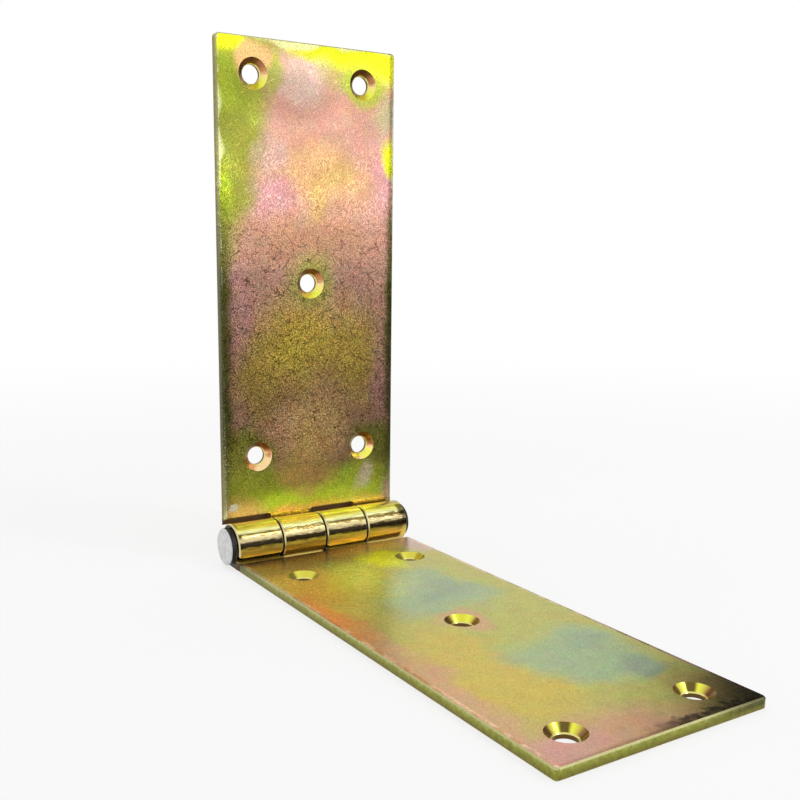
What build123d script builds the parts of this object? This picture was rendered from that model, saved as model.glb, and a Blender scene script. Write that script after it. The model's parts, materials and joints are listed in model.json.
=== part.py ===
"""Strap hinge: two identical stamped leaves, each rolled into two knuckles, on one riveted pin.

Millimetres. The hinge stands opened square: one leaf lies on its mounting face, the other is
upright. +X runs along the pin, the lying leaf points to -Y and the upright leaf to +Z. The origin
is the centre of the lying leaf's four corner screws, on its mounting face.
"""

import os
from math import asin, degrees, hypot, isclose

from build123d import *

# Leaf blank
leaf_width = 60.0
leaf_length = 150.0  # from the pin's axis to the free end
sheet = 2.8
corner_radius = 1.2  # free corners of the blank, and corners of the rolled tongues
edge_break = 0.35  # broken edge along the sheet, from the press and the tumbler

# Pin and knuckles
pin_diameter = 7.8
running_clearance = 0.05  # radial, between the pin and the knuckles
knuckle_count = 4  # the two leaves take turns along the pin
knuckle_gap = 0.5  # between neighbouring knuckles
swing_clearance = 1.5  # between a knuckle and the cut-out it turns in
cut_out_corner = 0.8
outer_roll_gap = 1.2  # from the roll's end to the leaf, at the knuckle on the leaf's side
inner_roll_gap = 0.4  # the same at the other knuckle, which is rolled tighter

# Pin heads
made_head_diameter = 11.3
made_head_height = 2.0
riveted_head_diameter = 11.1
riveted_head_height = 1.3
riveted_head_crown = 0.3  # how far the hammered face stands out in its middle
end_play = 0.1  # between each head and the knuckle beside it
head_chamfer = 0.3

# Countersunk screw holes
screw_hole_diameter = 5.5
countersink_diameter = 9.2
countersink_angle = 90.0
screw_spacing = 37.0  # across the leaf
near_row = 26.0  # from the pin's axis to the pair of holes beside the knuckles
middle_hole = 79.0  # from the pin's axis to the single hole
end_margin = 10.3  # from the free end to the pair of holes there

# Sizes that follow
bore_radius = pin_diameter / 2 + running_clearance
knuckle_radius = bore_radius + sheet
cut_out_radius = knuckle_radius + swing_clearance
pitch = leaf_width / knuckle_count
far_row = leaf_length - end_margin
screw_centre = (near_row + far_row) / 2

# Where the pieces go: each is drawn round the pin's axis and then set on one of these
hinge_centre = (0, screw_centre, knuckle_radius)
lying = Plane(hinge_centre, x_dir=(1, 0, 0), z_dir=(0, 0, 1))
upright = Plane(hinge_centre, x_dir=(-1, 0, 0), z_dir=(0, -1, 0))


def knuckle_span(index):
    """Left and right end of a knuckle, counted from the leaf's left side."""
    left = index * pitch - leaf_width / 2
    right = left + pitch
    if index > 0:
        left += knuckle_gap / 2
    if index < knuckle_count - 1:
        right -= knuckle_gap / 2
    return left, right


def is_rim(edge, distance):
    """True where a skin of the sheet, flat or rolled, ends at a cut side.

    The skin lies at this distance from the pin's axis. The line where its flat part runs into
    its rolled part is on both, and it is no rim.
    """
    points = [edge @ share for share in (0.1, 0.5, 0.9)]
    flat = all(isclose(point.Z, -distance, abs_tol=1e-3) for point in points)
    rolled = all(isclose(hypot(point.Y, point.Z), distance, abs_tol=1e-3) for point in points)
    return flat != rolled


# One leaf: the sheet lies below the axis and points to -Y. Its front, with the countersinks,
# looks up, and its knuckles stand on that side. Its own knuckles are the first, the third and on.
with BuildPart() as leaf:
    with BuildSketch(Plane.XY.offset(-knuckle_radius)) as blank:
        with Locations((0, -leaf_length / 2)):
            Rectangle(leaf_width, leaf_length)
        fillet(blank.vertices().group_by(Axis.Y)[0], corner_radius)
    extrude(amount=sheet)

    # Each tongue runs under the pin, up behind it and over the top, down towards its own leaf
    for index in range(0, knuckle_count, 2):
        left, right = knuckle_span(index)
        roll_gap = outer_roll_gap if index == 0 else inner_roll_gap
        rolled_angle = 270 + degrees(asin((bore_radius - roll_gap) / knuckle_radius))
        with BuildSketch(Plane.YZ.offset(left)) as roll:
            with BuildLine():
                outside = CenterArc((0, 0), knuckle_radius, -90, rolled_angle)
                inside = CenterArc((0, 0), bore_radius, -90, rolled_angle)
                Line(outside @ 0, inside @ 0)
                Line(outside @ 1, inside @ 1)
            make_face()
        extrude(amount=right - left)

    # The other leaf's knuckles turn in cut-outs, which follow their swing round the pin
    for index in range(1, knuckle_count, 2):
        left = knuckle_span(index - 1)[1]
        right = knuckle_span(index + 1)[0] if index < knuckle_count - 1 else leaf_width
        with BuildSketch() as swing:
            with Locations((left, 0)):
                Rectangle(right - left, cut_out_radius, align=(Align.MIN, Align.MIN))
            fillet(swing.vertices().group_by(Axis.Y)[-1], cut_out_corner)
        revolve(axis=Axis.X, mode=Mode.SUBTRACT)

    # The tongues' corners: the edges across the sheet that lie above the leaf's front
    across = leaf.edges().filter_by(GeomType.LINE).filter_by(lambda edge: abs((edge % 0.5).X) < 0.1)
    fillet(across.filter_by(lambda edge: edge.center().Z > -bore_radius), corner_radius)

    skins = (bore_radius, knuckle_radius)
    rims = leaf.edges().filter_by(lambda edge: any(is_rim(edge, skin) for skin in skins))
    chamfer(rims, edge_break)

    # Screw holes, from the front
    with Locations((0, 0, -bore_radius)):
        pairs = [(side * screw_spacing / 2, -row) for side in (-1, 1) for row in (near_row, far_row)]
        with Locations(pairs, (0, -middle_hole)):
            CounterSinkHole(
                screw_hole_diameter / 2,
                countersink_diameter / 2,
                depth=sheet,
                counter_sink_angle=countersink_angle,
            )

# The pin, with a head made on it at the left and one hammered over at the right
with BuildPart() as pin:
    left_seat = -leaf_width / 2 - end_play
    right_seat = leaf_width / 2 + end_play
    left_face = left_seat - made_head_height
    right_face = right_seat + riveted_head_height
    with BuildSketch() as half_section:
        with BuildLine():
            made_side = Polyline(
                (left_face, 0),
                (left_face, made_head_diameter / 2),
                (left_seat, made_head_diameter / 2),
                (left_seat, pin_diameter / 2),
            )
            riveted_side = Polyline(
                (right_seat, pin_diameter / 2),
                (right_seat, riveted_head_diameter / 2),
                (right_face, riveted_head_diameter / 2),
            )
            Line(made_side @ 1, riveted_side @ 0)
            crown = TangentArc(
                (right_face + riveted_head_crown, 0), riveted_side @ 1, tangent=(0, 1)
            )
            Line(crown @ 0, made_side @ 0)
        make_face()
        head_corners = half_section.vertices().filter_by(lambda corner: corner.Y > bore_radius)
        chamfer(head_corners, head_chamfer)
    revolve(axis=Axis.X)

# The same leaf is used twice: turned half round, its knuckles fall between the other's
with BuildPart(lying) as base_leaf:
    add(leaf.part)

with BuildPart(upright) as upright_leaf:
    add(leaf.part)

with BuildPart(lying) as hinge_pin:
    add(pin.part)

base_leaf.part.label = "base_leaf"
upright_leaf.part.label = "upright_leaf"
hinge_pin.part.label = "hinge_pin"

os.makedirs("parts", exist_ok=True)
export_step(base_leaf.part, "parts/base_leaf.step")
export_step(upright_leaf.part, "parts/upright_leaf.step")
export_step(hinge_pin.part, "parts/hinge_pin.step")
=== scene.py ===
"""Looks of the strap hinge: two zinc plated leaves with a yellow iridescent chromate, and a bare pin.

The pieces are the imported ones, in metres. This script gives them their finish, a pale floor, soft
light and the camera.
"""

import json
from math import cos, radians, sin
from types import SimpleNamespace

import bpy
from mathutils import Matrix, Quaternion, Vector


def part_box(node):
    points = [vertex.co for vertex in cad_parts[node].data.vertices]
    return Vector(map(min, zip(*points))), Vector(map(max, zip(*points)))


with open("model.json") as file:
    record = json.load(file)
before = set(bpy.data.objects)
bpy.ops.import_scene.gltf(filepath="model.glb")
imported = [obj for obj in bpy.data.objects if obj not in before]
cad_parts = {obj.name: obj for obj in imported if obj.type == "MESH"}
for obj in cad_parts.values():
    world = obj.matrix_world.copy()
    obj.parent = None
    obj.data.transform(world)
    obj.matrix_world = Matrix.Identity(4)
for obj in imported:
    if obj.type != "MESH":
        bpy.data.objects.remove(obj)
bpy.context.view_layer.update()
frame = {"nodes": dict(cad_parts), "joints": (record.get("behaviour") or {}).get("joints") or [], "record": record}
scene = bpy.context.scene

MM = 0.001

# Sizes read from the frame, in millimetres as the surfaces below use them
pin_axis = Vector(frame["joints"][0]["pos_m"])
base_low, base_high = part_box("base_leaf")
half_width = (base_high.x - base_low.x) / 2 / MM
leaf_length = (pin_axis.y - base_low.y) / MM
knuckle_radius = (base_high.y - pin_axis.y) / MM
screws = next(mount for mount in frame["record"]["mounts"] if mount["name"] == "base_screws")
screw_spacing = screws["dims"]["spacing_x_mm"]
row_spacing = screws["dims"]["spacing_y_mm"]
row_middle = (pin_axis.y - screws["pos_m"][1]) / MM

# Sizes of the sheet that the frame doesn't give
sheet = 2.8
middle_hole = 79.0  # from the pin's axis
countersink_radius = 4.6
swing_clearance = 1.5
front_height = sheet - knuckle_radius  # the front face, counted from the pin's axis
cut_out_radius = knuckle_radius + swing_clearance

# Camera, as the photograph was taken
camera_place = Vector((-0.14881, -0.19776, 0.09762))
camera_aim = Vector((0, 0.03445, 0.04778))
camera_roll = radians(0.636)
lens = 45.886
sensor_width = 36
shift_up = 0.0375

camera_data = bpy.data.cameras.new("camera")
camera_data.lens = lens
camera_data.sensor_width = sensor_width
camera_data.shift_y = shift_up
camera_data.clip_start = 0.01
camera_data.clip_end = 20
camera = bpy.data.objects.new("camera", camera_data)
scene.collection.objects.link(camera)
camera.location = camera_place
camera.rotation_mode = "QUATERNION"
towards_hinge = (camera_aim - camera_place).to_track_quat("-Z", "Y")
camera.rotation_quaternion = towards_hinge @ Quaternion((0, 0, 1), camera_roll)
scene.camera = camera


class Graph:
    """Short calls that add shader nodes to one tree. Most return an output socket."""

    def __init__(self, tree):
        self.tree = tree
        tree.nodes.clear()

    def node(self, kind, **settings):
        """A new node with these settings."""
        made = self.tree.nodes.new(kind)
        for name, value in settings.items():
            setattr(made, name, value)
        return made

    def give(self, socket, value):
        """Links a socket to another, or sets it to a constant."""
        if isinstance(value, bpy.types.NodeSocket):
            self.tree.links.new(value, socket)
        else:
            socket.default_value = value

    def give_all(self, sockets, values):
        for socket, value in zip(sockets, values):
            self.give(socket, value)

    def math(self, operation, *values, clamp=False):
        made = self.node("ShaderNodeMath", operation=operation, use_clamp=clamp)
        self.give_all(made.inputs, values)
        return made.outputs[0]

    def plus(self, first, second, clamp=False):
        return self.math("ADD", first, second, clamp=clamp)

    def minus(self, first, second, clamp=False):
        return self.math("SUBTRACT", first, second, clamp=clamp)

    def times(self, first, second, clamp=False):
        return self.math("MULTIPLY", first, second, clamp=clamp)

    def scaled_plus(self, value, factor, added):
        """The value times a factor, plus what is added."""
        return self.math("MULTIPLY_ADD", value, factor, added)

    def larger(self, first, second):
        return self.math("MAXIMUM", first, second)

    def absolute(self, value):
        return self.math("ABSOLUTE", value)

    def total(self, values):
        so_far = values[0]
        for value in values[1:]:
            so_far = self.plus(so_far, value)
        return so_far

    def ease(self, value, start, end, low=0.0, high=1.0, kind="SMOOTHSTEP"):
        """Low before start, high after end, and a smooth or LINEAR step between."""
        made = self.node("ShaderNodeMapRange", interpolation_type=kind)
        self.give_all(made.inputs, (value, start, end, low, high))
        return made.outputs[0]

    def mix(self, share, first, second):
        """A number between two others."""
        made = self.node("ShaderNodeMix", data_type="FLOAT")
        self.give_all((made.inputs[0], made.inputs[2], made.inputs[3]), (share, first, second))
        return made.outputs[0]

    def blend(self, share, first, second, mode="MIX"):
        """A colour between two others."""
        made = self.node("ShaderNodeMix", data_type="RGBA", blend_type=mode)
        self.give_all((made.inputs[0], made.inputs[6], made.inputs[7]), (share, first, second))
        return made.outputs[2]

    def paint(self, share, under, colour):
        """One plain colour laid over another."""
        return self.blend(share, under, (*colour, 1))

    def vector(self, x, y, z=0.0):
        made = self.node("ShaderNodeCombineXYZ")
        self.give_all(made.inputs, (x, y, z))
        return made.outputs[0]

    def parts(self, vector):
        """The x, y and z of a vector."""
        made = self.node("ShaderNodeSeparateXYZ")
        self.give(made.inputs[0], vector)
        return made.outputs

    def vector_math(self, operation, *values, scale=None, wanted=0):
        made = self.node("ShaderNodeVectorMath", operation=operation)
        self.give_all(made.inputs, values)
        if scale is not None:
            self.give(made.inputs["Scale"], scale)
        return made.outputs[wanted]

    def length(self, vector):
        return self.vector_math("LENGTH", vector, wanted=1)

    def scaled(self, vector, scale):
        return self.vector_math("SCALE", vector, scale=scale)

    def squeezed(self, vector, factors):
        """The vector with each part times its own factor."""
        return self.vector_math("MULTIPLY", vector, factors)

    def stretched(self, vector, place=(0, 0, 0), turn=0.0, size=(1, 1, 1)):
        """The vector in a frame set at a place, turned in its plane and scaled by a size."""
        made = self.node("ShaderNodeMapping", vector_type="TEXTURE")
        self.give(made.inputs["Vector"], vector)
        made.inputs["Location"].default_value = place
        made.inputs["Rotation"].default_value = (0, 0, radians(turn))
        made.inputs["Scale"].default_value = size
        return made.outputs[0]

    def noise(self, vector, scale, detail=2.0, roughness=0.5, distortion=0.0, colour=False):
        made = self.node("ShaderNodeTexNoise")
        self.give(made.inputs["Vector"], vector)
        made.inputs["Scale"].default_value = scale
        made.inputs["Detail"].default_value = detail
        made.inputs["Roughness"].default_value = roughness
        made.inputs["Distortion"].default_value = distortion
        return made.outputs["Color" if colour else "Fac"]

    def ramp(self, value, stops):
        """The colour at a value between stops, each a place from 0 to 1 and a colour."""
        made = self.node("ShaderNodeValToRGB")
        self.give(made.inputs[0], value)
        elements = made.color_ramp.elements
        while len(elements) < len(stops):
            elements.new(0.5)
        for element, (place, colour) in zip(elements, stops):
            element.position = place
            element.color = (*colour, 1)
        return made.outputs[0]

    def bump(self, height, normal=None):
        """The normal of a surface with this relief, in millimetres."""
        made = self.node("ShaderNodeBump")
        self.give(made.inputs["Height"], height)
        made.inputs["Strength"].default_value = 1.0
        made.inputs["Distance"].default_value = MM
        if normal is not None:
            self.give(made.inputs["Normal"], normal)
        return made.outputs[0]

    def metal(self, colour, roughness, normal, metallic):
        """A principled surface. Returns its node, whose other settings may still be changed."""
        surface = self.node("ShaderNodeBsdfPrincipled")
        self.give(surface.inputs["Base Color"], colour)
        self.give(surface.inputs["Roughness"], roughness)
        self.give(surface.inputs["Normal"], normal)
        surface.inputs["Metallic"].default_value = metallic
        self.finish(surface)
        return surface

    def finish(self, shader, kind="ShaderNodeOutputMaterial"):
        """Makes a shader node the whole tree's result."""
        self.give(self.node(kind).inputs["Surface"], shader.outputs[0])


def new_material(name):
    """An empty material, and the graph of its nodes."""
    material = bpy.data.materials.new(name)
    material.use_nodes = True
    return material, Graph(material.node_tree)


def linear(red, green, blue):
    """A colour given as it looks on a screen, from 0 to 255, as the shaders need it."""
    return tuple(
        part / 255 / 12.92 if part < 10.3 else ((part / 255 + 0.055) / 1.055) ** 2.4
        for part in (red, green, blue)
    )


# Colours of the chromate film, which change with its thickness
lemon = linear(232, 238, 40)
lime = linear(176, 196, 54)
moss = linear(158, 162, 66)
olive = linear(176, 172, 84)
mauve = linear(210, 180, 172)
rose = linear(212, 161, 141)
copper = linear(222, 164, 112)
peach = linear(232, 184, 128)
gold = linear(214, 186, 80)
honey = linear(208, 186, 84)
khaki = linear(190, 186, 98)
sage = linear(184, 192, 112)
teal = linear(162, 184, 142)
slate = linear(146, 166, 140)
blush = linear(212, 165, 126)
rosy = linear(214, 158, 158)
lilac = linear(230, 198, 184)
amber = linear(240, 180, 96)
# A pale colour laid on as a painted highlight along the upright leaf's edges
edge_highlight_cream = linear(236, 240, 170)
dun = linear(212, 172, 108)
straw = linear(196, 182, 142)
orange = linear(228, 150, 94)

# Through the sheet's thickness from the front edge to the back
CUT_SIDE = (
    (0.0, linear(184, 184, 108)),
    (0.3, linear(148, 152, 62)),
    (0.6, linear(132, 130, 54)),
    (0.95, linear(118, 106, 54)),
)

# Painted shade and reflections round a screw seat, by the wall's direction: from the upper wall to the lower one,
# or from the middle of a wall to its ends
UPRIGHT_SEAT_SHADING = (
    (0.1, linear(110, 70, 40)),
    (0.3, linear(150, 100, 60)),
    (0.46, linear(214, 150, 100)),
    (0.56, linear(255, 216, 160)),
    (0.66, linear(246, 240, 110)),
    (0.8, linear(236, 246, 70)),
)
BASE_SEAT_REFLECTIONS = (
    (0.0, linear(226, 224, 66)),
    (0.34, linear(244, 244, 84)),
    (0.5, linear(214, 200, 84)),
    (0.62, linear(150, 112, 66)),
    (0.7, linear(120, 88, 50)),
)

# Round the knuckles, from under the front up to the top and back: the room's reflection in polished metal,
# painted on as a gold lower half, a black line, two painted highlights with bronze between them, and a yellow top
reflected_black = linear(36, 27, 11)
bronze = linear(100, 84, 38)
brass = linear(184, 164, 76)
bright_gold = linear(236, 198, 76)
painted_lamp_highlight = linear(242, 224, 166)
painted_top_highlight = linear(255, 253, 180)
citron = linear(236, 230, 92)
KNUCKLE_REFLECTIONS = (
    (0.0, brass),
    (0.24, bright_gold),
    (0.35, brass),
    (0.39, reflected_black),
    (0.44, reflected_black),
    (0.5, painted_lamp_highlight),
    (0.53, bronze),
    (0.56, bronze),
    (0.59, painted_top_highlight),
    (0.65, citron),
    (0.75, brass),
    (1.0, brass),
)

# The backs, plainly clouded
BACK = ((0.28, olive), (0.4, honey), (0.47, khaki), (0.53, blush), (0.6, peach), (0.7, sage))

# Edges and small places: painted highlights on bevels and rims, painted shade on hole walls, knuckle ends
# and cut-outs, and colours of their own
bevel_highlight = linear(190, 186, 132)
seat_rim_highlight = linear(236, 228, 140)
hole_wall_shade = linear(104, 78, 38)
coppery_seat = linear(255, 214, 168)
near_seat = linear(214, 204, 84)
shaded_seat = linear(110, 92, 40)
knuckle_rim_highlight = linear(226, 214, 160)
knuckle_end_shade = linear(30, 22, 12)
cut_out_shade = linear(112, 80, 44)
worn_zinc = linear(208, 206, 200)

# Patches of another film: place across and along the leaf, half sizes, turn in degrees, the part of
# the half sizes that is full, colour and how fully it shows; lengths in millimetres
UPRIGHT_PATCHES = (
    (0, 46, 44, 38, 0, 0.5, dun, 0.45),
    (4, 112, 22, 12, -14, 0.4, peach, 0.75),
    (-14, 104, 14, 9, 8, 0.3, rosy, 0.95),
    (-14, 118, 8, 10, -6, 0.3, mauve, 0.5),
    (25, 112, 7, 20, 0, 0.3, rosy, 0.7),
    (-4, 60, 28, 21, 8, 0.2, gold, 0.95),  # gold clouds under the middle hole
    (16, 56, 15, 21, 0, 0.2, gold, 0.8),
    (-19, 48, 11, 19, 0, 0.2, gold, 0.6),
    (-25, 70, 7, 24, 0, 0.3, rosy, 0.5),
    (-24, 38, 7, 14, 0, 0.3, rosy, 0.4),
    (27, 48, 6, 24, 0, 0.3, rosy, 0.5),
    (2, 36, 15, 13, 0, 0.4, dun, 0.7),
    (0, 92, 30, 12, 0, 0.3, copper, 0.35),
    (0, 79.5, 12.5, 11.5, 0, 0.4, moss, 0.8),  # green halo round the middle hole
    (-54, 130, 43, 90, -12, 0.82, moss, 1.0),  # green along the left side, widest at the top
    (-31, 106, 7, 11, -4, 0.5, lime, 0.95),
    (3, 103, 5, 9, 0, 0.3, gold, 0.4),
    (8, 112, 10, 7, 30, 0.3, honey, 0.35),
    (-27, 136, 9, 14, 0, 0.3, lime, 0.6),
    (-37, 55, 11, 80, 0, 0.72, moss, 0.9),
    (36, 60, 10, 80, 0, 0.66, moss, 0.9),
    (0, 0, 74, 24, 0, 0.8, moss, 1.0),  # green above the knuckles
    (-23, 26, 14, 12, 10, 0.5, moss, 0.9),
    (23, 26, 13, 12, 0, 0.5, moss, 0.9),
    (0, 10, 60, 7, 0, 0.4, lime, 0.7),
    (16, 15, 20, 11, 0, 0.2, lime, 0.5),
    (-2, 20, 15, 11, 0, 0.35, dun, 1.0),
    (0, 29, 11, 8, 0, 0.3, dun, 0.8),
    (19.5, 16, 4, 7, -25, 0.3, lilac, 0.6),
    (4, 3.5, 34, 7.5, 0, 0.5, amber, 1.0),
    (29, 9, 5, 9, 0, 0.3, rosy, 0.7),
    (-24, 8, 13, 8, -10, 0.4, dun, 0.9),
    (-2, 140, 12, 11, 8, 0.3, lilac, 0.9),
    (16, 140, 16, 7, -14, 0.3, lime, 0.6),
    (7, 147, 14, 5, -8, 0.3, lime, 0.6),
    (-11.5, 141, 3.5, 11, 0, 0.3, lime, 0.6),
    (18.5, 139.7, 9, 9, 0, 0.5, lime, 0.7),
    (14, 152, 30, 11, -3, 0.6, lemon, 1.0),  # lemon in the corners and along the free end
    (29, 150, 12, 13, 0, 0.5, lemon, 1.0),
    (-29, 150, 11, 8, 0, 0.5, lemon, 1.0),
    # painted highlight along the free end
    (10, 151, 34, 3.4, -1, 0.5, edge_highlight_cream, 0.9),
    (-18, 143, 6.5, 9, 0, 0.5, peach, 0.8),  # paler round the upper left hole
    (27, 131, 6, 9, 0, 0.3, straw, 0.9),
    (31, 118, 7, 8, 0, 0.5, lemon, 1.0),
    # painted highlight along the left edge
    (-31, 121, 2.6, 22, 0, 0.5, edge_highlight_cream, 0.8),
)
BASE_PATCHES = (
    (-14, 108, 18, 38, 0, 0.5, honey, 0.95),
    (10, 111, 22, 23, 12, 0.5, sage, 0.7),
    (14, 117, 15, 15, 0, 0.25, teal, 0.9),  # teal fields with bluer hearts
    (5, 117, 15, 12, 0, 0.25, teal, 0.8),
    (4, 107, 16, 12, -10, 0.25, teal, 0.85),
    (17, 103, 13, 12, 0, 0.25, teal, 0.9),
    (20, 124, 9, 7, 0, 0.3, slate, 0.9),
    (17, 106, 9, 9, 0, 0.3, slate, 0.5),
    (7, 58, 22, 21, 25, 0.5, sage, 0.7),
    (2, 64, 23, 13, 0, 0.25, teal, 0.9),
    (8, 54, 16, 14, 20, 0.25, teal, 0.9),
    (13, 45, 11, 12, 0, 0.2, teal, 0.8),
    (14, 63, 14, 9, 0, 0.3, teal, 0.9),
    (-3, 61, 12, 9, 20, 0.3, teal, 0.6),
    (10, 59, 14, 9, 10, 0.2, slate, 0.5),
    (2, 58, 9, 7, 10, 0.3, slate, 0.5),
    (12, 52, 8, 8, 0, 0.3, slate, 0.5),
    (0, 79, 10, 10, 0, 0.55, blush, 0.75),  # rose ring round the middle hole
    (-36, 104, 16, 90, 0, 0.6, blush, 0.9),  # rose along the left side and the free end
    (-18, 158, 46, 28, 0, 0.6, blush, 1.0),
    (30, 12, 13, 20, 0, 0.3, mauve, 1.0),
    (-24, 145, 16, 12, 0, 0.3, rosy, 0.5),
    (-21, 34, 14, 34, 0, 0.3, amber, 0.65),
    (-29, 60, 9, 26, 0, 0.3, orange, 0.75),
    (10, 25, 9, 13, 8, 0.4, lemon, 1.0),  # lemon spot between the holes near the knuckles
    (23, 142, 14, 14, 0, 0.3, dun, 0.5),
    (-10, 6, 40, 15, 0, 0.4, dun, 1.0),
    (-7, 42, 9, 32, 20, 0.3, olive, 0.5),
)
# Painted shade and painted light, in duller and paler patches: the same six values, and the change of brightness
UPRIGHT_PAINTED_SHADING = (
    (0, 17, 110, 76, 0, 0.8, -0.3),
    (-6, 135.5, 26, 12, 0, 0.2, -0.4),
    (22, 132, 14, 13, 0, 0.3, -0.2),
    (0, 117, 38, 14, 0, 0.3, -0.17),
    (8, 150, 34, 6, 0, 0.4, -0.2),
    (-28, 132, 10, 16, 0, 0.5, -0.3),
    (-31, 56, 6, 52, 0, 0.4, -0.38),
    (0, 79.5, 13, 12, 0, 0.4, 0.28),
    (-22, 46, 12, 20, 0, 0.2, -0.1),
    (0, 91, 30, 8, 0, 0.3, -0.1),
    (32, 62, 6.0, 60, 0, 0.4, -0.28),
    (0, 60, 24, 20, 0, 0.3, 0.1),
    (0, 33, 18, 16, 0, 0.3, 0.5),
    (0, 17, 13, 8, 0, 0.3, 0.15),
    (-18, 18, 14, 8, 0, 0.3, 0.2),
    (18, 14, 18, 11, 0, 0.3, 0.9),
    (0, 6, 50, 9, 0, 0.5, 0.75),
)
BASE_PAINTED_SHADING = (
    (-14, -6, 46, 36, 0, 0.35, -0.8),
    (32, 146, 26, 24, 0, 0.2, -0.74),
    (-20, 40, 14, 24, 0, 0.3, -0.22),
    (-2, 40, 14, 26, 20, 0.3, 0.18),
)

darkest_painted_shading = 0.15  # of a patch
darkest_mark = 0.12

# What differs between the two leaves' finishes; widths in millimetres
upright_look = SimpleNamespace(
    upright=True,
    film=rose,
    patches=UPRIGHT_PATCHES,
    painted_shading_patches=UPRIGHT_PAINTED_SHADING,
    wander=9.0,  # how far the patches' outlines stray
    roughness=0.26,
    metallic=0.85,
    grain_depth=0.8,
    scratched=0.7,
    side_pits=0.14,
    roll_width=2.8,  # the sides' edges, rounded by the press
    knuckle_gloss=0.1,
    # the sides' edges, worn pale and with a painted highlight
    worn_and_glint_width=0.9,  # the sides' edges, rubbed pale
    worn_and_glint_colour=linear(224, 220, 176),
)
base_look = SimpleNamespace(
    upright=False,
    film=khaki,
    patches=BASE_PATCHES,
    painted_shading_patches=BASE_PAINTED_SHADING,
    wander=15.0,
    roughness=0.27,
    metallic=0.65,
    grain_depth=0.25,
    scratched=0.06,
    side_pits=0.02,
    roll_width=1.4,
    knuckle_gloss=0.13,
    # the sides' edges, worn pale and with a painted highlight
    worn_and_glint_width=1.5,
    worn_and_glint_colour=linear(240, 206, 172),
)


def leaf_places(g, upright):
    """Place and normal on a leaf, both as (across, along the leaf from the axis, out of its front)."""
    coordinates = g.node("ShaderNodeTexCoord")
    x, y, z = g.parts(coordinates.outputs["Object"])
    normal_x, normal_y, normal_z = g.parts(coordinates.outputs["Normal"])
    across = g.math("DIVIDE", x, MM)
    up = g.math("DIVIDE", g.minus(z, pin_axis.z), MM)
    forward = g.math("DIVIDE", g.minus(pin_axis.y, y), MM)
    normal_forward = g.times(normal_y, -1)
    if upright:
        return (across, up, forward), (normal_x, normal_z, normal_forward)
    return (across, forward, up), (normal_x, normal_forward, normal_z)


def nearest_screw(g, across, along):
    """Distance to the centre of the nearest screw hole."""
    from_column = g.minus(g.absolute(across), screw_spacing / 2)
    from_row = g.minus(g.absolute(g.minus(along, row_middle)), row_spacing / 2)
    corner = g.length(g.vector(from_column, from_row))
    middle = g.length(g.vector(across, g.minus(along, middle_hole)))
    return g.math("MINIMUM", corner, middle)


def leaf_regions(g, place, normal):
    """Shares, from 0 to 1, of where the surface is rolled, cut, bevelled or countersunk."""
    across, along, out = place
    found = SimpleNamespace()
    found.side = g.absolute(across)
    found.facing = g.absolute(normal[2])
    found.screw = nearest_screw(g, across, along)
    found.rolled = g.ease(along, knuckle_radius + 0.85, knuckle_radius + 0.05)
    found.leafy = g.minus(1.0, found.rolled)
    found.steep = g.times(g.ease(found.facing, 0.95, 0.85), found.leafy)

    inside_screw = g.ease(found.screw, countersink_radius + 0.5, countersink_radius + 0.3)
    found.countersunk = g.times(found.steep, inside_screw)
    edges = g.minus(found.steep, found.countersunk)
    found.cut = g.times(edges, g.ease(found.facing, 0.55, 0.4))
    found.bevel = g.minus(edges, found.cut)

    sideways = g.absolute(normal[0])
    fully_sideways = g.ease(sideways, 0.85, 0.95)
    partly_sideways = g.minus(g.ease(sideways, 0.3, 0.5), fully_sideways)
    found.knuckle_end = g.times(found.rolled, fully_sideways)
    found.knuckle_rim = g.times(found.rolled, partly_sideways)

    from_axis = g.length(g.vector(along, out))
    past_inner = g.ease(from_axis, cut_out_radius - 1.1, cut_out_radius - 1.0)
    before_outer = g.ease(from_axis, cut_out_radius + 0.15, cut_out_radius + 0.05)
    curved = g.ease(found.facing, 0.99, 0.97)
    found.cut_out = g.times(g.times(past_inner, before_outer), curved)
    return found


def patch_share(g, place, patch, full):
    """How much of a patch is felt: all of it in its middle, and nothing past its border."""
    patch_across, patch_along, half_across, half_along, turn, core = patch
    inside = g.stretched(place, (patch_across, patch_along, 0), turn, (half_across, half_along, 1))
    distance = g.length(g.squeezed(inside, (1, 1, 0)))
    return g.ease(distance, core, 1.0, full, 0.0)


def film_colour(g, solid, look):
    """The film's colour, and the painted light and shade over a leaf, in soft patches with wandering outlines and
    fine clouds.

    The third result is 1 on the leaf's front and 0 on its back.
    """
    flat = g.squeezed(solid, (1, 1, 0))
    drift = g.vector_math("SUBTRACT", g.noise(flat, 0.07, detail=2, colour=True), (0.5, 0.5, 0.5))
    place = g.vector_math("ADD", flat, g.scaled(drift, look.wander))
    front_colour = (*look.film, 1)
    for *patch, colour, full in look.patches:
        front_colour = g.paint(patch_share(g, place, patch, full), front_colour, colour)
    back_colour = g.ramp(g.noise(flat, 0.018, detail=2.5, distortion=0.4), BACK)
    front = g.ease(g.parts(solid)[2], front_height - 2.25, front_height - 1.05)
    clouds = g.vector_math("ADD", g.noise(flat, 0.2, detail=4, colour=True), (0.5, 0.5, 0.5))
    colour = g.blend(0.35, g.blend(front, back_colour, front_colour), clouds, mode="MULTIPLY")
    changes = g.total([patch_share(g, place, patch, change) for *patch, change in look.painted_shading_patches])
    painted_shading = g.scaled_plus(front, changes, 1.0)
    return colour, g.larger(painted_shading, darkest_painted_shading), front


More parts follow.
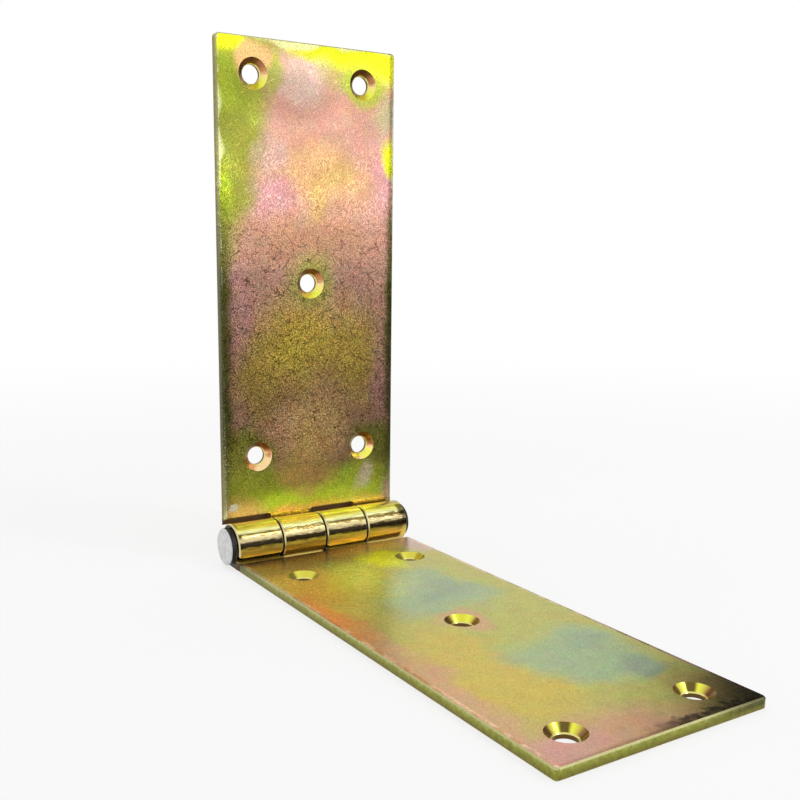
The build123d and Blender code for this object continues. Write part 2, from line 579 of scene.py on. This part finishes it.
def knuckle_colour(g, solid, along, out, upright):
    """Painted reflections in bands round the knuckles, a little ragged and streaked along them."""
    angle = g.math("ARCTAN2", along, out) if upright else g.math("ARCTAN2", out, along)
    speckle = g.noise(g.squeezed(solid, (0.5, 2.0, 2.0)), 1.0, detail=4, roughness=0.7)
    turned = g.scaled_plus(g.minus(speckle, 0.5), 0.3, angle)
    bands = g.ramp(g.ease(turned, -1.2, 2.2, kind="LINEAR"), KNUCKLE_REFLECTIONS)
    streaks = g.noise(g.squeezed(solid, (0.14, 1.8, 1.8)), 1.0, detail=4, roughness=0.6)
    return g.scaled(bands, g.ease(streaks, 0.35, 0.62, 0.78, 1.2))


def cut_side_colour(g, solid, out):
    """The sheet's cut sides, from the front edge to the back."""
    through = g.math("DIVIDE", g.minus(front_height, out), sheet)
    ragged = g.times(g.minus(g.noise(solid, 0.7, detail=4), 0.5), 1.1)
    return g.ramp(g.plus(through, ragged), CUT_SIDE)


def upright_seat_colour(g, across, along, normal, change):
    """Walls of the upright leaf's screw seats, painted dark above as shade and bright below as a highlight. The
    left one near the knuckles is coppery.
    """
    near = g.ease(along, 45, 35)
    wall = g.scaled_plus(normal[1], 0.42, g.scaled_plus(normal[0], -0.16, 0.45))
    change = g.times(change, g.mix(near, 1.0, 2.2))
    wall = g.plus(wall, g.plus(change, g.times(near, -0.05)))
    coppery = g.times(g.times(near, 0.85), g.ease(across, 5, -5))
    coppery = g.times(coppery, g.ease(wall, 0.45, 0.6))
    return g.paint(coppery, g.ramp(wall, UPRIGHT_SEAT_SHADING), coppery_seat)


def base_seat_colour(g, along, normal, change):
    """Walls of the lying leaf's screw seats, painted light and dark by the wall's direction as reflections, with
    painted shade in the middle near the free end.
    """
    turn = g.scaled_plus(normal[0], 0.8, g.times(normal[1], 0.6))
    turn = g.absolute(g.scaled_plus(change, 0.3, turn))
    colour = g.paint(g.ease(along, 45, 35, 0.0, 0.65), g.ramp(turn, BASE_SEAT_REFLECTIONS), near_seat)
    shaded = g.times(g.ease(turn, 0.3, 0.12), g.ease(along, 100, 120))
    return g.paint(shaded, colour, shaded_seat)


def seat_colour(g, flat, place, normal, regions, upright):
    """Machined screw seats: the walls, a painted highlight on the rim round the hole and painted shade on the
    hole's wall.
    """
    across, along, out = place
    change = g.times(g.minus(g.noise(flat, 0.4, detail=1), 0.5), 0.3)
    if upright:
        colour = upright_seat_colour(g, across, along, normal, change)
    else:
        colour = base_seat_colour(g, along, normal, change)
    # A painted highlight on the rim round the hole, and painted shade on the hole's wall
    rim = g.times(g.ease(regions.screw, 3.1, 2.95), g.ease(regions.facing, 0.3, 0.4))
    colour = g.paint(rim, colour, seat_rim_highlight)
    return g.paint(g.ease(regions.facing, 0.4, 0.3), colour, hole_wall_shade)


def scratch_lines(g, flat, turn, length, seed):
    """Thin straight marks in one direction, gathered here and there."""
    moved = g.stretched(flat, (seed, -seed, 0), turn, (1, length, 1))
    lines = g.noise(moved, 2.6, detail=1)
    gate = g.noise(flat, 0.35, detail=1)
    return g.times(g.ease(lines, 0.665, 0.7), g.ease(gate, 0.5, 0.62))


def short_marks(g, flat, turn):
    """Fine short marks in one direction."""
    marks = g.noise(g.stretched(flat, (0, 0, 0), turn, (1, 4, 1)), 2.6, detail=1)
    return g.ease(marks, 0.56, 0.64)


def crackle(g, flat):
    """Short dark hair lines where the plating is crazed, in two sizes."""
    drift = g.scaled(g.noise(flat, 0.45, detail=3, colour=True), 3.5)
    bent = g.vector_math("ADD", flat, drift)
    lines = []
    for size, half_line in ((6.5, 0.14), (3.2, 0.095)):
        cells = g.node("ShaderNodeTexVoronoi", voronoi_dimensions="2D", feature="DISTANCE_TO_EDGE")
        g.give(cells.inputs["Vector"], bent)
        cells.inputs["Scale"].default_value = 1 / size
        line = g.ease(cells.outputs["Distance"], 1.6 * half_line / size, 0.5 * half_line / size)
        broken = g.ease(g.noise(flat, 1.3 / size, detail=3), 0.46, 0.54)
        lines.append(g.times(line, broken))
    return g.larger(*lines)


def dark_pits(g, solid, along, side, side_pits):
    """Pits in the grain, denser towards the sides and towards the knuckles."""
    margin = g.ease(side, half_width - 5.0, half_width - 0.5, 0.0, side_pits)
    low = g.ease(along, 125, 85)
    density = g.scaled_plus(margin, low, g.times(low, 0.04))
    return g.ease(g.plus(g.noise(solid, 3.0, detail=2, roughness=0.8), density), 0.5, 0.68)


def marks_shade(g, solid, flat, along, regions, front, pits, look):
    """Brightness of a leaf with its pits, speckle and scratches, and on the upright leaf painted highlights."""
    lines = g.plus(scratch_lines(g, flat, 32, 16, 3.0), scratch_lines(g, flat, -58, 20, 7.0))
    pitted = g.times(pits, g.times(g.ease(along, 12, 36, 0.4, 1.0), g.ease(along, 125, 90, 0.45, 1.0)))
    marks = [g.times(pitted, look.grain_depth)]
    if look.upright:
        # Dark scratches and crazing below, and above them a bright part with short fine marks painted on as
        # highlights
        marks.append(g.times(g.times(lines, g.ease(along, 108, 88)), look.scratched))
        crazed = g.times(g.ease(along, 112, 78, 0.1, 1.0), g.ease(along, 16, 40, 0.1, 1.0))
        marks.append(g.times(crackle(g, flat), g.times(front, crazed)))
        contrast = g.times(g.ease(along, 98, 62, 1.7, 5.0), g.ease(along, 8, 34, 0.3, 1.0))
        polished = g.times(g.ease(along, 90, 104), g.ease(along, 128, 114))
        polished = g.times(polished, g.ease(g.noise(flat, 0.12, detail=3), 0.4, 0.54))
        painted_sparkle = g.larger(short_marks(g, flat, 12), short_marks(g, flat, -38))
        scratch_highlights = g.times(lines, g.ease(along, 88, 108, 0.0, 0.7))
        painted_glints = g.scaled_plus(g.times(painted_sparkle, polished), 0.5, scratch_highlights)
    else:
        marks.append(g.times(lines, look.scratched))
        contrast = 1.4
        painted_glints = 0.0
    darkening = g.times(g.total(marks), regions.leafy, clamp=True)
    speckle = g.minus(g.noise(solid, 4.4, detail=1, roughness=0.8), 0.5)
    speckled = g.times(g.times(speckle, g.mix(front, 1.6, contrast)), regions.leafy)
    shade = g.scaled_plus(darkening, -0.75, g.total([speckled, painted_glints, 1.0]))
    return g.larger(shade, darkest_mark)


def dark_end_shade(g, flat, across, along, steep, front):
    """Painted shade on the lying leaf's free end, almost black along its right half. 1 is unshaded."""
    ragged_along = g.scaled_plus(g.noise(flat, 0.35, detail=4), 6.0, along)
    at_end = g.ease(ragged_along, leaf_length - 1.2, leaf_length + 0.6)
    at_right = g.ease(across, -8, 8)
    in_corner = g.ease(g.scaled_plus(across, 0.5, along), 148, 163)
    end_shade = g.larger(g.times(at_end, at_right), in_corner)
    end_shade = g.times(end_shade, g.minus(front, steep, clamp=True))
    end_darkness = g.ease(g.noise(flat, 0.7, detail=4), 0.3, 0.6, 0.62, 0.9)
    return g.scaled_plus(g.times(end_shade, end_darkness), -1, 1.0)


def worn_spot(g, flat):
    """Where the film is worn off in the upright leaf's low left corner."""
    place = g.stretched(flat, (-26.9, 10.6, 0), 20, (1.7, 1.3, 1))
    ragged = g.times(g.noise(flat, 1.2, detail=3), 1.2)
    return g.ease(g.plus(g.length(place), ragged), 1.7, 1.3)


def leaf_relief(g, solid, along, side, pits, grain, look):
    """Sides and end rounded over by the press, slow waves, and then the grain with its pits."""
    rolled_side = g.ease(side, half_width - look.roll_width, half_width + 0.8)
    side_roll = g.times(rolled_side, -0.32 * look.roll_width)
    end_roll = g.times(g.ease(along, leaf_length - 1.6, leaf_length + 0.8), -0.15)
    waves = g.times(g.noise(solid, 0.08, detail=2), 0.2)
    wide = g.bump(g.total([side_roll, end_roll, waves]))
    fine = g.scaled_plus(pits, -0.6, grain)
    return g.bump(g.times(fine, 0.022 * look.grain_depth), normal=wide)


def leaf_gloss(g, solid, regions, look):
    """Roughness: low on the knuckles, and high in the cut-outs, which are painted dark as shade."""
    gloss = g.scaled_plus(g.noise(solid, 0.5, detail=3), 0.1, look.roughness - 0.05)
    gloss = g.mix(regions.rolled, gloss, look.knuckle_gloss)
    gloss = g.mix(g.plus(regions.cut, regions.countersunk), gloss, 0.18)
    return g.mix(regions.cut_out, gloss, 0.7)


def leaf_finish(name, look):
    """Zinc plated sheet with an iridescent chromate: film colours, painted light and shade, grain, marks and
    rounded edges.
    """
    material, g = new_material(name)
    place, normal = leaf_places(g, look.upright)
    across, along, out = place
    solid = g.vector(across, along, out)
    flat = g.vector(across, along)
    regions = leaf_regions(g, place, normal)

    # Colour of the film, and of each region laid over it
    colour, painted_shading, front = film_colour(g, solid, look)
    knuckles = knuckle_colour(g, solid, along, out, look.upright)
    colour = g.blend(regions.rolled, colour, knuckles)
    colour = g.blend(regions.cut, colour, cut_side_colour(g, solid, out))
    # Along the sides' edges, wear and a painted highlight, both pale
    worn_and_glint_start = half_width - look.worn_and_glint_width
    worn_and_highlit = g.times(g.ease(regions.side, worn_and_glint_start, worn_and_glint_start + 0.4),
                     g.ease(g.noise(solid, 0.22, detail=3), 0.44, 0.56))
    worn_and_highlit = g.times(worn_and_highlit, g.minus(regions.leafy, regions.cut, clamp=True))
    colour = g.paint(worn_and_highlit, colour, look.worn_and_glint_colour)
    # Painted highlight on the bevelled edges
    colour = g.paint(regions.bevel, colour, bevel_highlight)
    seats = seat_colour(g, flat, place, normal, regions, look.upright)
    colour = g.blend(regions.countersunk, colour, seats)
    # Painted highlight on the knuckles' rims, and painted shade on their ends and in the cut-outs
    colour = g.paint(regions.knuckle_rim, colour, knuckle_rim_highlight)
    colour = g.paint(regions.knuckle_end, colour, knuckle_end_shade)
    colour = g.paint(regions.cut_out, colour, cut_out_shade)

    # Painted light and shade with the marks; the knuckles and the screw seats have theirs in their own colours
    pits = dark_pits(g, solid, along, regions.side, look.side_pits)
    shade = g.times(painted_shading, marks_shade(g, solid, flat, along, regions, front, pits, look))
    if not look.upright:
        # Painted shade along the lying leaf's free end
        shade = g.times(shade, dark_end_shade(g, flat, across, along, regions.steep, front))
    own_tone = g.larger(regions.countersunk, regions.rolled)
    colour = g.scaled(colour, g.mix(own_tone, shade, 1.0))
    if look.upright:
        colour = g.paint(g.times(worn_spot(g, flat), front), colour, worn_zinc)

    grain = g.noise(solid, 3.4, detail=2, roughness=0.7)
    relief = leaf_relief(g, solid, along, regions.side, pits, grain, look)
    surface = g.metal(colour, leaf_gloss(g, solid, regions, look), relief, look.metallic)
    surface.inputs["Specular IOR Level"].default_value = 0.25
    surface.inputs["Specular Tint"].default_value = (1.0, 0.96, 0.84, 1)
    return material


def pin_finish():
    """Bare zinc on the pin: pale faces with fine hammer marks, and dark round sides."""
    material, g = new_material("pin_zinc")
    coordinates = g.node("ShaderNodeTexCoord")
    solid = g.scaled(coordinates.outputs["Object"], 1 / MM)
    facing = g.absolute(g.parts(coordinates.outputs["Normal"])[0])
    clouds = g.noise(solid, 0.6, detail=4)
    grain = g.noise(solid, 3.0, detail=3, roughness=0.7)
    pale = g.ramp(clouds, ((0.3, linear(196, 198, 200)), (0.7, linear(228, 228, 226))))
    dark_sides = g.ramp(grain, ((0.35, linear(12, 12, 12)), (0.7, linear(52, 50, 46))))
    colour = g.blend(g.ease(facing, 0.75, 0.55), pale, dark_sides)
    roughness = g.ease(clouds, 0.2, 0.8, 0.35, 0.55)
    g.metal(colour, roughness, g.bump(g.times(g.plus(grain, clouds), 0.06)), 0.5)
    return material


def dress(node, material):
    """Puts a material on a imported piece."""
    mesh = frame["nodes"][node].data
    mesh.materials.clear()
    mesh.materials.append(material)


dress("base_leaf", leaf_finish("base_leaf_chromate", base_look))
dress("upright_leaf", leaf_finish("upright_leaf_chromate", upright_look))
dress("hinge_pin", pin_finish())


def add_mesh(name, corners, faces, material):
    """A new object of one material."""
    mesh = bpy.data.meshes.new(name)
    mesh.from_pydata(corners, [], faces)
    mesh.materials.append(material)
    made = bpy.data.objects.new(name, mesh)
    scene.collection.objects.link(made)
    return made


def seen_rays(g):
    """1 for a ray from the camera, off a glossy surface or through glass.

    Such rays see the white background, and all others only its plain light.
    """
    path = g.node("ShaderNodeLightPath").outputs
    seen = g.plus(path["Is Camera Ray"], path["Is Glossy Ray"], clamp=True)
    return g.plus(seen, path["Is Transmission Ray"], clamp=True)


def shader_mix(g, share, first, second):
    """A shader node between two others."""
    made = g.node("ShaderNodeMixShader")
    g.give_all(made.inputs, (share, first.outputs[0], second.outputs[0]))
    return made


# Floor: a wide pale disc that keeps the shadow and fades into the white backdrop. It is clear enough
# to show the leaf that swings below it when the hinge is opened past flat
floor_radius = 1.6
floor_sides = 96
fade_start = 0.2
fade_end = 0.7
paper_level = 0.85

floor_material, g = new_material("floor_paper")
paper = g.node("ShaderNodeBsdfDiffuse")
paper.inputs["Color"].default_value = (paper_level, paper_level, paper_level, 1)
clear = g.node("ShaderNodeBsdfTransparent")
distance = g.length(g.node("ShaderNodeTexCoord").outputs["Object"])
clearness = g.times(seen_rays(g), g.ease(distance, fade_start, fade_end, 0.75, 1.0))
g.finish(shader_mix(g, clearness, paper, clear))

turns = [radians(360 * k / floor_sides) for k in range(floor_sides)]
floor_edge = [(floor_radius * cos(turn), floor_radius * sin(turn), 0) for turn in turns]
floor = add_mesh("floor", floor_edge, [tuple(range(floor_sides))], floor_material)

# World: a white room, with a plain level of light from all round
room_light = 0.85
world = bpy.data.worlds.new("studio")
scene.world = world
world.use_nodes = True
g = Graph(world.node_tree)
sky = g.node("ShaderNodeBackground")
sky.inputs["Color"].default_value = (1, 1, 1, 1)
sky.inputs["Strength"].default_value = room_light
backdrop = g.node("ShaderNodeBackground")
backdrop.inputs["Color"].default_value = (1, 1, 1, 1)
g.finish(shader_mix(g, seen_rays(g), sky, backdrop), kind="ShaderNodeOutputWorld")


def direction(azimuth, elevation):
    """Azimuth 0 is +Y and 90 is +X."""
    a, e = radians(azimuth), radians(elevation)
    return Vector((sin(a) * cos(e), cos(a) * cos(e), sin(e)))


def add_card(name, corners, faces, level):
    """A glowing sheet that only the metal sees, as set up for photographs of polished parts."""
    material, g = new_material(name)
    glow = g.node("ShaderNodeEmission")
    glow.inputs["Color"].default_value = (1.0, 0.98, 0.95, 1)
    glow.inputs["Strength"].default_value = level
    g.finish(glow)
    made = add_mesh(name, corners, faces, material)
    made.visible_camera = False
    made.visible_diffuse = False
    made.visible_shadow = False


def add_curved_card(name, azimuths, elevations, radius, level):
    """A card bent round the hinge, between two azimuths and two elevations."""
    steps = 12
    corners = []
    for i in range(steps + 1):
        azimuth = azimuths[0] + (azimuths[1] - azimuths[0]) * i / steps
        corners.extend(direction(azimuth, elevation) * radius for elevation in elevations)
    faces = [(2 * i, 2 * i + 1, 2 * i + 3, 2 * i + 2) for i in range(steps)]
    add_card(name, corners, faces, level)


add_curved_card("right_card", (50, 106), (-10, 50), 1.5, 0.07)
add_curved_card("right_low_card", (104, 138), (-12, 2), 1.48, 0.07)
add_curved_card("left_low_card", (172, 240), (-12, 2), 1.4, 0.07)
add_curved_card("horizon_card", (104, 230), (2, 28), 1.55, 1.95)

# A grey sheet just above the floor, to the right of the lying leaf
grey_height = 0.0006
grey_outline = ((0.033, 0.07), (1.5, 0.07), (1.5, -1.4), (-0.2, -1.4), (0.033, -0.09))
grey_corners = [(x, y, grey_height) for x, y in grey_outline]
add_card("grey_sheet", grey_corners, [tuple(range(len(grey_corners)))], 0.14)


def area_light(name, place, aim, width, power):
    """A soft square lamp."""
    data = bpy.data.lights.new(name, "AREA")
    data.shape = "SQUARE"
    data.size = width
    data.energy = power
    lamp = bpy.data.objects.new(name, data)
    scene.collection.objects.link(lamp)
    lamp.location = place
    lamp.rotation_mode = "QUATERNION"
    lamp.rotation_quaternion = (aim - place).to_track_quat("-Z", "Y")


hinge_middle = Vector((0, 0.05, 0.02))
area_light("softbox", hinge_middle + direction(142, 48) * 1.1, hinge_middle, 0.13, 1.6)

scene.view_settings.view_transform = "Standard"
